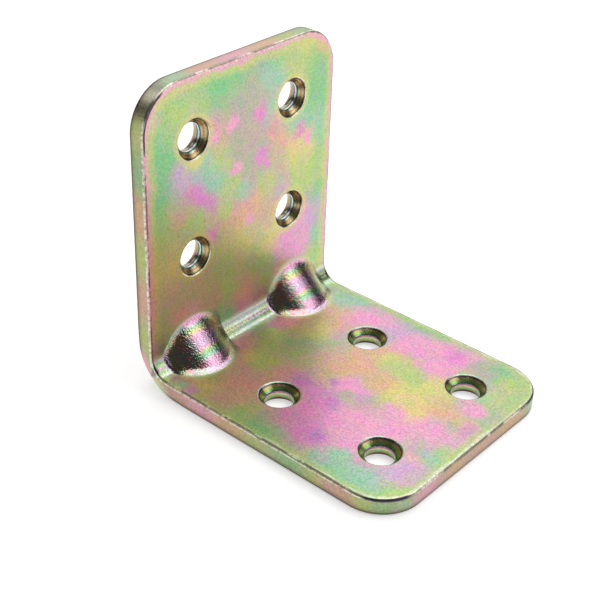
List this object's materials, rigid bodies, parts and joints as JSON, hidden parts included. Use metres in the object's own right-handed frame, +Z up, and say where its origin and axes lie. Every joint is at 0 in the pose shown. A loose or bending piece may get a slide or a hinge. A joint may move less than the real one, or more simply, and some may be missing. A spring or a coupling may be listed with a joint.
{
  "type": "reinforced angle bracket",
  "caption": "Square angle bracket bent from sheet steel, with rounded corners, countersunk screw holes in both legs and pressed gussets that stiffen the bend.",
  "frame": {"origin": "on the underside of the base leg, midway along it and in the middle of the width", "axes": "+X along the base leg, away from the upright leg; +Y across the width; +Z up, along the upright leg"},
  "size_m": [0.06, 0.05, 0.06],
  "materials": {
    "plated_steel": "zinc plated and yellow passivated, with pink, green, teal and yellow interference colours"
  },
  "bodies": {
    "root": {"angle_bracket": "plated_steel"}
  },
  "joints": []
}
